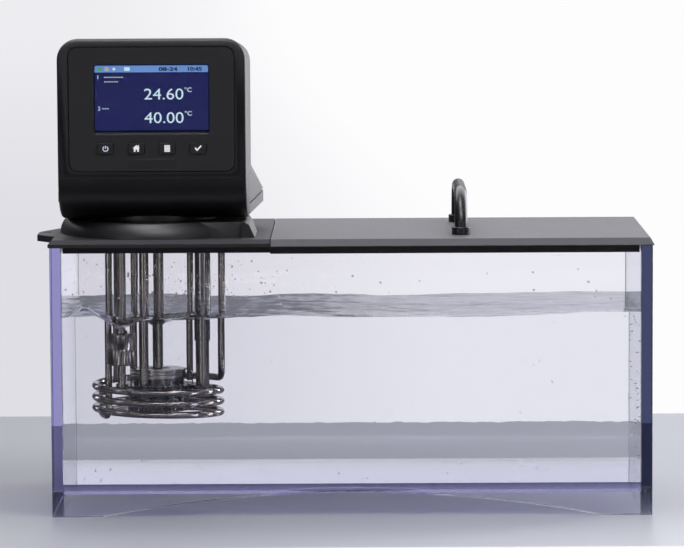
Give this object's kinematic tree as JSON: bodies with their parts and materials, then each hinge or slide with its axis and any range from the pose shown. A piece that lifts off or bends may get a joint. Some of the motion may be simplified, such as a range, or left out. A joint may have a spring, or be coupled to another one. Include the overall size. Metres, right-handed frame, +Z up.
{
  "type": "laboratory water bath",
  "caption": "Clear-walled laboratory water bath with a swivelling digital immersion circulator on a bridge plate and a lift-off lid with a bow handle.",
  "frame": {"origin": "middle of the outer box's bottom face, on the bench", "axes": "+Z up, +X to the right along the tank, the display faces -Y"},
  "size_m": [0.5164, 0.2124, 0.3984],
  "materials": {
    "acrylic": "clear cast acrylic sheet with a faint lavender tint",
    "acrylic_edge": "clear acrylic sheet seen edge on, violet to dark navy",
    "cover_plastic": "fine-grained black moulded plastic",
    "lid_plastic": "fine-grained dark moulded plastic with a broad sheen",
    "skirt_plastic": "plain black plastic",
    "handle_plastic": "satin black moulded plastic",
    "head_plastic": "fine-grained black moulded plastic",
    "fascia_plastic": "satin black panel",
    "key_plastic": "satin black with pale printed symbols",
    "bearing_plastic": "plain filled black plastic",
    "switch_plastic": "black moulded plastic",
    "steel": "polished stainless steel",
    "screw_steel": "zinc-plated steel",
    "motor_paint": "dark painted steel case",
    "cast_alloy": "machined aluminium",
    "bronze": "plain turned copper alloy",
    "window": "clear gloss display window",
    "screen": "lit dark-blue display",
    "circuit_board": "green solder-masked board"
  },
  "bodies": {
    "bath": {"left_end_wall": "acrylic_edge", "right_end_wall": "acrylic_edge", "front_panel": "acrylic", "back_panel": "acrylic", "tank_floor": "acrylic", "bridge_plate": "cover_plastic", "mounting_plate": "steel", "shaft_bearing": "bronze", "base_housing": "cover_plastic", "corner_cover": "cover_plastic", "swivel_washer": "bearing_plastic", "retaining_ring": "steel", "motor_flange": "cast_alloy", "motor": "motor_paint", "heater_terminals": "bronze", "pump_column_front": "steel", "pump_column_rear": "steel", "sleeved_column_tube": "steel", "column_sleeve": "steel", "temperature_probe": "steel", "probe_clip": "steel", "pump_cover": "steel", "pump_body": "steel", "heater_coil": "steel", "float_stem": "steel", "float_stops": "steel"},
    "controller": {"head_bezel": "head_plastic", "head_fascia": "fascia_plastic", "side_shell": "head_plastic", "chin_cover": "head_plastic", "rear_shell": "head_plastic", "swivel_ring": "bearing_plastic", "display_window": "window", "display_module": "screen", "control_board": "circuit_board", "key_switches": "switch_plastic", "power_board": "circuit_board", "heat_sink": "cast_alloy", "power_inlet": "switch_plastic", "inlet_pins": "bronze", "shell_screws": "screw_steel"},
    "power_key": {"key_power": "key_plastic"},
    "home_key": {"key_home": "key_plastic"},
    "menu_key": {"key_menu": "key_plastic"},
    "set_key": {"key_set": "key_plastic"},
    "lid": {"lid_plate": "lid_plastic", "lid_skirt": "skirt_plastic", "lid_handle": "handle_plastic", "handle_collars": "handle_plastic", "handle_screws": "screw_steel"},
    "drive": {"drive_shaft": "steel", "shaft_coupling": "steel", "impeller": "bearing_plastic", "motor_fan": "bearing_plastic"},
    "float": {"float_body": "steel"}
  },
  "joints": [
    {"name": "controller_swivel", "type": "hinge", "parent": "bath", "child": "controller", "pos_m": [-0.157, -0.019, 0.2445], "axis": [0, 0, 1], "range_deg": [-90, 90]},
    {"name": "power_key_press", "type": "slide", "parent": "controller", "child": "power_key", "axis": [0, 1, 0], "range_m": [0, 0.001], "stiffness_N_per_m": 800, "springref_m": -0.0005},
    {"name": "home_key_press", "type": "slide", "parent": "controller", "child": "home_key", "axis": [0, 1, 0], "range_m": [0, 0.001], "stiffness_N_per_m": 800, "springref_m": -0.0005},
    {"name": "menu_key_press", "type": "slide", "parent": "controller", "child": "menu_key", "axis": [0, 1, 0], "range_m": [0, 0.001], "stiffness_N_per_m": 800, "springref_m": -0.0005},
    {"name": "set_key_press", "type": "slide", "parent": "controller", "child": "set_key", "axis": [0, 1, 0], "range_m": [0, 0.001], "stiffness_N_per_m": 800, "springref_m": -0.0005},
    {"name": "lid_lift", "type": "slide", "parent": "bath", "child": "lid", "axis": [0, 0, 1], "range_m": [0, 0.25]},
    {"name": "drive_spin", "type": "hinge", "parent": "bath", "child": "drive", "pos_m": [-0.157, -0.019, 0.2445], "axis": [0, 0, 1], "continuous": true},
    {"name": "float_slide", "type": "slide", "parent": "bath", "child": "float", "axis": [0, 0, 1], "range_m": [-0.015, 0], "stiffness_N_per_m": 100, "springref_m": 0.014}
  ]
}
